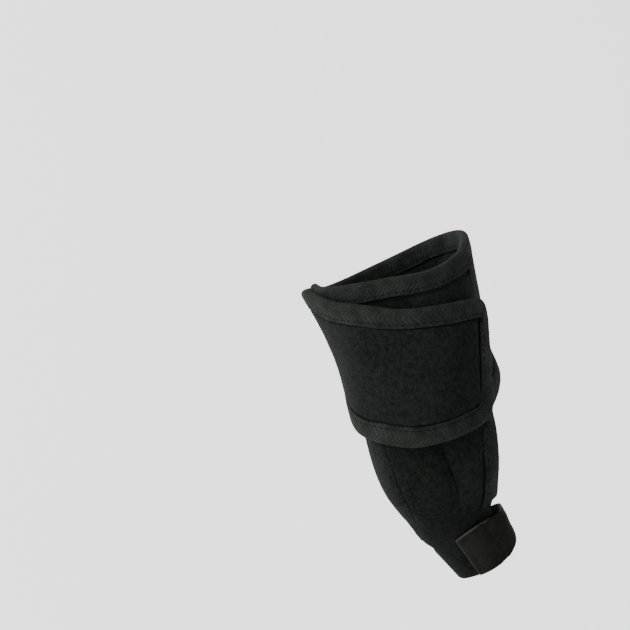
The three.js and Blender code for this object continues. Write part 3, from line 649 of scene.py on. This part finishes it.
def build_strap():
    """The strap's cloth inside its tapes, pressed flat under them, with rounded corners at its end."""
    columns, rows = np.linspace(0, 1, 380), spaced(104, 1.0, 0.2)
    u0, v = np.meshgrid(columns, rows, indexing="ij")
    edge_u = np.clip(columns, 0.02, 0.98)  # the edges' lean is measured over a stretch, clear of both ends
    width = apart(strap_place(columns, 0.0), strap_place(columns, 1.0))[:, None]
    lean_heel = lean(strap_place, edge_u, 0.0, 0.01, 0.05)[:, None]
    lean_toe = lean(strap_place, edge_u, 1.0, 0.01, -0.05)[:, None]
    v = mix(INSET * lean_heel / width, 1 - INSET * lean_toe / width, v)
    from_heel, from_toe = v * width / lean_heel, (1 - v) * width / lean_toe
    near = np.minimum(from_heel, from_toe)
    cut = np.maximum(CORNER - INSET - (near - INSET), 0)
    rounding = (CORNER - INSET) - np.sqrt(np.maximum((CORNER - INSET) ** 2 - cut**2, 0))
    u = u0 * (1 - INSET / STRAP_LENGTH)
    u = u - rounding / STRAP_LENGTH * smooth(u0, 0.9, 1.0)
    inside = np.minimum(near, (1 - u) * STRAP_LENGTH * TAPE_WIDTH / END_TAPE)
    x, turn = strap_place(u, v)
    run = u * STRAP_LENGTH
    dents = 0.10 * ripple(run + 0.35 * from_heel, 1.0, (37.0, 19.0, 9.0))
    dents = dents + 0.06 * ripple(from_heel * 1.3 + 0.2 * run, 4.0)
    pull = 0.08 * np.cos(2 * np.pi * run / STITCH) * np.exp(-(((near - PRESSED_WIDTH) / 1.6) ** 2))
    relief = (dents + pull) * smooth(inside, PRESSED_WIDTH, PRESSED_WIDTH + 4) + loft(inside)
    chart = np.stack([run, from_heel], -1)
    lift, half = strap_lift(turn), half_wall(inside)
    made = lay("strap_cloth", x, turn, lift, half, LAMINATE, relief, chart)
    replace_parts(made, "midfoot_strap")


def build_strap_tape():
    """The tape round the strap's two long edges and its end, with a quarter circle at both corners."""
    around = CORNER / STRAP_LENGTH
    across = CORNER / float(apart(strap_place(1.0, 0.0), strap_place(1.0, 1.0)))
    sides = np.linspace(TAPES_MEET, 1 - around, 300)
    angle = np.linspace(0, np.pi / 2, 18)[1:]
    u = np.concatenate([sides, 1 - around * (1 - np.sin(angle))])
    v = np.concatenate([np.zeros_like(sides), across * (1 - np.cos(angle))])
    end = np.linspace(across, 1 - across, 28)[1:-1]
    u, v = np.concatenate([u, np.ones_like(end), u[::-1]]), np.concatenate([v, end, 1 - v[::-1]])
    width = mix(TAPE_WIDTH, END_TAPE, smooth(u, 1 - 0.8 * around, 1))
    x, turn = strap_place(u, v)
    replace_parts(folded_tape("strap_tape", x, turn, -1, strap_lift, 1.0, width), "strap_binding")


SEAM_START_X = float(curve(STRAP_EDGES, "turn", "heel", SEAM_HEEL)) * FORM_LENGTH
SEAM_END_X = float(curve(STRAP_EDGES, "turn", "toe", SEAM_TOE)) * FORM_LENGTH
WEB_X = PANEL_REACH["along"][4] * FORM_LENGTH


def panel_edges(x):
    """The turns of the panel's sole edge and of its seam or front edge at a station."""
    x = np.asarray(x, float)
    girth = form.girth_at(x)
    sole = curve(PANEL_REACH, "along", "sole", x / FORM_LENGTH) * BALL_WIDTH / girth
    front = curve(PANEL_REACH, "along", "instep", x / FORM_LENGTH) * BALL_WIDTH / girth
    ahead = smooth(x, SEAM_END_X - TAPE_WIDTH, SEAM_END_X + 3)
    sole = mix(SOLE_TURN, sole, ahead)
    share = np.maximum((x - SEAM_START_X) / (SEAM_END_X - SEAM_START_X), 0)
    return sole, np.where(share < 1, mix(SEAM_HEEL, SEAM_TOE, np.minimum(share, 1)), front)


def panel_place(x, v):
    """Station and turn of the panel: v from its sole edge to its seam or front edge."""
    sole, front = panel_edges(x)
    return x, mix(sole, front, v)


def panel_heel(v):
    """The station of the panel's heel edge."""
    return curve(PANEL_HEEL, "across", "along", v) * FORM_LENGTH


def front_tape_width(x):
    """The face of the tape on the seam and front edge: it widens over a stretch ahead of the seam's end."""
    return mix(TAPE_WIDTH, FRONT_TAPE, smooth(x, SEAM_END_X + 1, SEAM_END_X + 9))


def panel_lean(x, v, inward):
    """The lean of the panel's edge, the steepest of three near by, as its edge bends."""
    return np.maximum.reduce([lean(panel_place, x + shift, v, 1.5, inward) for shift in (-4.0, 0.0, 4.0)])


def pocket_middle(x):
    """How far round the form the pocket's middle is at a station."""
    return curve(POCKET_LINE, "along", "middle", x / FORM_LENGTH) * BALL_WIDTH


def pocket_at(x, turn):
    """How far a place is from the pocket's middle, round the form."""
    return turn * form.girth_at(x) - pocket_middle(x)


def build_panel():
    """The panel: pressed under its tapes, dented beside the pocket, and softly wrinkled at the toe."""
    share = np.concatenate([np.linspace(0, 1, 110) * 0.999, np.linspace(1, 2, 130)])
    share, rows = np.meshgrid(share, spaced(140, 1.0, 0.16), indexing="ij")
    v = rows.copy()
    for _ in range(3):  # each round works out the insets at the last round's places
        heel, end = panel_heel(v) + INSET * HEEL_LEAN, TOE_END + PILE_SLANT * smooth(v, 0.1, 0.8)
        x = np.where(share < 1, mix(heel, SEAM_END_X, share), mix(SEAM_END_X, end, share - 1))
        sole, front = panel_edges(x)
        height = (front - sole) * form.girth_at(x)
        sewn = x < SEAM_END_X - 0.5  # where the panel meets the strap's cloth, and has no tape of its own
        sole_lean = panel_lean(x, 0.0, 0.05)
        front_lean = np.where(sewn, 1.0, panel_lean(x, 1.0, -0.05))
        taped = 1 - smooth(x, LOOP_START - 2, LOOP_START)
        low = INSET * taped * np.minimum(sole_lean, 2.5) / height
        high = 1 - np.where(sewn, 0, INSET * np.minimum(front_lean, 2.5)) / height
        v = mix(low, high, rows)
    in_sole, in_heel = v * height / sole_lean, (x - panel_heel(v)) / HEEL_LEAN
    in_front = (1 - v) * height / front_lean * TAPE_WIDTH / front_tape_width(x)
    in_front = np.where(x < SEAM_END_X - TAPE_WIDTH / 2, height, in_front)
    bound = 1 - smooth(x, WEB_X + TAPE_WIDTH / 4, WEB_X + 3 * TAPE_WIDTH / 4)  # 0 where its edges are cut
    inside = np.minimum(np.minimum(in_sole, in_front), in_heel)
    free = np.minimum(np.minimum(v * height, (1 - v) * height), end - x)
    half = mix(PADDED / 2 * (0.35 + 0.65 * rounded(free, 1.2)), half_wall(inside), bound)
    x, turn = panel_place(x, v)
    beside = np.abs(np.abs(pocket_at(x, turn)) - POCKET_WIDTH / 2)
    around, toe = turn * form.girth_at(x), smooth(x, *WRINKLES)
    by_pocket = smooth(x, POCKET_START - 4, POCKET_START + 6) * (1 - smooth(x, POCKET_END, POCKET_END + 3))
    relief = groove(beside, 1.4, 0.3) * by_pocket
    relief = relief + 0.14 * toe * ripple(x + 0.4 * turn * BALL_WIDTH, 2.0, (17.0, 8.0, 4.5))
    relief = relief + 0.12 * toe * ripple(around * 1.1 - 0.5 * x, 5.0, (21.0, 10.0, 6.0))
    relief = relief * smooth(inside, PRESSED_WIDTH, PRESSED_WIDTH + 3)
    relief = relief + loft(np.minimum(in_sole, in_front)) * bound
    chart = np.stack([x, v * height], -1)
    under_pocket = smooth(POCKET_WIDTH / 2 - np.abs(pocket_at(x, turn)), -0.5, 1)
    pile = np.clip(smooth(x, *PILE_STARTS) + under_pocket, 0, 1)
    made = lay("panel_cloth", x, turn, FIRST, half, PANEL, relief, chart, pile, "pile")
    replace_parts(made, "body_panel")


def first_layer(turn):
    """The panel's tapes lie on the first layer everywhere."""
    return np.full_like(np.asarray(turn, float), FIRST)


def joined_path(first, second):
    """Two runs of (stations, turns), joined. The three places on each side of the joint become the mean of
    themselves and their neighbours, so that the path bends there and has no corner."""
    x, turn = (np.concatenate(runs) for runs in zip(first, second))
    near = slice(len(first[0]) - 3, len(first[0]) + 3)
    for line in (x, turn):
        before, after = line[near.start - 1 : near.stop - 1], line[near.start + 1 : near.stop + 1]
        line[near] = (before + line[near] + after) / 3
    return x, turn


def build_panel_tapes():
    """The tapes on the panel's heel, sole and front edges; the first and last start on the strap's edge."""
    v, on_strap = np.linspace(1, 0, 110), np.linspace(TAPES_MEET, 0, 9)[:-1]
    heel = joined_path(strap_place(on_strap, 0.0), panel_place(panel_heel(v), v))
    start = float(panel_heel(0.0)) + (TAPE_WIDTH + 2 * CLEARANCE) * HEEL_LEAN
    sole = panel_place(np.linspace(start, LOOP_START + 1, 150), 0.0)
    front = panel_place(np.linspace(SEAM_END_X + 0.6, WEB_X, 60), 1.0)
    front = joined_path(strap_place(on_strap, 1.0), front)
    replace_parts(folded_tape("heel_tape", *heel, 1, first_layer, 2.0), "panel_heel_binding")
    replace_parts(folded_tape("sole_tape", *sole, 1, first_layer, 5.0), "panel_sole_binding")
    width = front_tape_width(front[0])
    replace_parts(folded_tape("front_tape", *front, -1, first_layer, 7.0, width), "panel_front_binding")


def pocket_reach(x):
    """Half the pocket's width at a station: narrower at both of its ends."""
    narrow = smooth(x, POCKET_START, POCKET_START + 5) * (1 - 0.25 * smooth(x, POCKET_END - 8, POCKET_END))
    return POCKET_WIDTH * mix(0.7, 1.0, narrow) / 2


def build_pocket():
    """The splint's pocket: a pile strip domed over the stay, with a row of stitches in a groove near each
    long edge, that sinks into the panel over its last stretch."""
    across = np.sin(np.linspace(-1, 1, 90) * np.pi / 2)
    x, a = np.meshgrid(np.linspace(POCKET_START, POCKET_END, 190), across, indexing="ij")
    reach = pocket_reach(x)
    wobble = 0.22 * ripple(x, 3.0 + np.sign(a), (13.0, 7.0, 3.7)) * np.abs(a) ** 3
    turn = (pocket_middle(x) + a * reach + wobble) / form.girth_at(x)
    in_side, in_end = (1 - np.abs(a)) * reach, np.minimum(x - POCKET_START, POCKET_END - x)
    half = POCKET / 2 * (1 - 0.45 * np.abs(a) ** 4) * (0.3 + 0.7 * rounded(np.minimum(in_side, in_end), 0.9))
    sink = smooth(x, POCKET_END - 12, POCKET_END)
    lift = POCKET_LIFT - POCKET / 2 + half - POCKET_PULL - POCKET_SINK * sink
    stitched = np.abs(in_side - POCKET_SEAM_IN)
    relief = groove(stitched, 0.7, 0.4) * (1 - sink) + 0.1 * ripple(x, 6.0, (15.0, 8.0, 5.0)) * (1 - a**2)
    relief = relief + 0.05 * np.cos(2 * np.pi * x / STITCH) * np.exp(-((stitched / 1.5) ** 2))
    chart = np.stack([x, a * reach], -1)
    made = lay("pocket_cloth", x, turn, lift, half, PILE, relief, chart)
    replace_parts(made, "splint_pocket")
    line = np.linspace(POCKET_START + 4, POCKET_END - 10, 160)
    for sign in (-1, 1):
        row = (pocket_middle(line) + sign * (pocket_reach(line) - POCKET_SEAM_IN)) / form.girth_at(line)
        sew(line, row, POCKET_LIFT - POCKET_THREAD_IN)


def build_toe_loop():
    """The toe loop, from the panel's sole edge round underneath, with its cut edges rounded."""
    share, w = np.meshgrid(np.linspace(0, 1, 170), spaced(60, 1.0, 0.1), indexing="ij")
    start = LOOP_START + LOOP_SLANT * smooth(share, 0, 0.5) + LOOP_TAPER * smooth(share, 0.55, 1)
    x = mix(start, TOE_END + 1, w)
    sole, _ = panel_edges(x)
    turn = mix(sole + LOOP_LAP / form.girth_at(x), LOOP_END, share)
    lift = mix(FIRST, LOOP_LIFT, smooth(share, 0, 0.25))
    half = LOOP / 2 * (0.3 + 0.7 * rounded(np.minimum(w, 1 - w) * (TOE_END - LOOP_START), 0.8))
    along = share * LOOP_RUN
    relief = 0.12 * ripple(along + 0.6 * x, 2.0, (14.0, 7.0, 3.9))
    made = lay("toe_loop_cloth", x, turn, lift, half, PILE, relief, np.stack([along, x], -1))
    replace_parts(made, "toe_loop")


def build_toe_tab():
    """The hook tab: square where it starts and round at its free end, where its half width shrinks as the
    root of one less the square of a smooth step. Its cut edge is paler, with a sewn groove inside it and
    two creases."""
    u, a = np.meshgrid(spaced(150, 1.0, 0.12), np.sin(np.linspace(-1, 1, 90) * np.pi / 2), indexing="ij")
    turn = mix(*TAB_TURNS, u * (1 - 0.2 * np.abs(a) ** 3))
    wide = TAB_LENGTH / 2 + TAB_BULGE * np.sin(np.pi * np.minimum(u * 1.3, 1))
    toe_side = (a + 1) / 2
    bend = smooth(u, mix(-0.1, 0.6, toe_side), mix(0.52, 1.0, toe_side))
    x = TAB_START + TAB_LENGTH / 2 + a * wide * np.sqrt(1 - mix(0.88, 0.8, toe_side) * bend**2)
    lift = mix(TAB_LIFT, TAB_LOW, smooth(turn, *TAB_DROP))
    in_side, in_start, in_end = (1 - np.abs(a)) * wide, u * TAB_RUN, (1 - u) * TAB_RUN
    edge = np.minimum(np.minimum(in_side, in_start), in_end)
    half = TAB / 2 * (0.25 + 0.75 * rounded(edge, 0.55))
    across = x - TAB_START
    relief = groove(edge - TAB_SEAM_IN, 0.5, 0.2)
    for start, slant, width, depth in zip(*TAB_CREASES.values()):
        relief = relief + groove(in_start - start + slant * across, width, depth)
    relief = relief + 0.14 * ripple(in_start + 0.3 * x, 8.0, (16.0, 9.0, 6.0))
    rim = 1 - smooth(edge, 0.12, 0.42)
    chart = np.stack([in_start, x], -1)
    made = lay("toe_tab_cloth", x, turn, lift, half, HOOK, relief, chart, rim)
    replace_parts(made, "toe_tab")


build_panel()
build_pocket()
build_panel_tapes()
build_strap()
build_strap_tape()
build_toe_loop()
build_toe_tab()
build_stitches()


def area_light(name, direction, distance, size, power):
    """A square soft light, a distance away in a direction, that shines on the object."""
    lamp = bpy.data.lights.new(name, "AREA")
    lamp.size, lamp.energy = size, power
    made = bpy.data.objects.new(name, lamp)
    made.location = Vector(direction).normalized() * distance
    made.rotation_euler = (-made.location).to_track_quat("-Z", "Y").to_euler()
    bpy.context.scene.collection.objects.link(made)


# Floor and soft studio light
FLOOR_REACH, FLOOR_Z = 30.0, -0.3
floor_mesh = bpy.data.meshes.new("floor")
floor_corners = [(x * FLOOR_REACH, y * FLOOR_REACH, FLOOR_Z) for x, y in ((-1, -1), (1, -1), (1, 1), (-1, 1))]
floor_mesh.from_pydata(floor_corners, [], [(0, 1, 2, 3)])
floor_mesh.materials.append(FLOOR)
floor = bpy.data.objects.new("floor", floor_mesh)
bpy.context.scene.collection.objects.link(floor)
area_light("key", back - side * 0.9 + over * 0.7, distance=1.6, size=0.9, power=24.0)
area_light("fill", back + side * 0.8 + over * 0.1, distance=1.8, size=1.4, power=7.0)
world = bpy.data.worlds.new("studio")
world.use_nodes = True
world.node_tree.nodes["Background"].inputs["Color"].default_value = (1.0, 1.0, 1.0, 1.0)
world.node_tree.nodes["Background"].inputs["Strength"].default_value = 0.75
bpy.context.scene.world = world
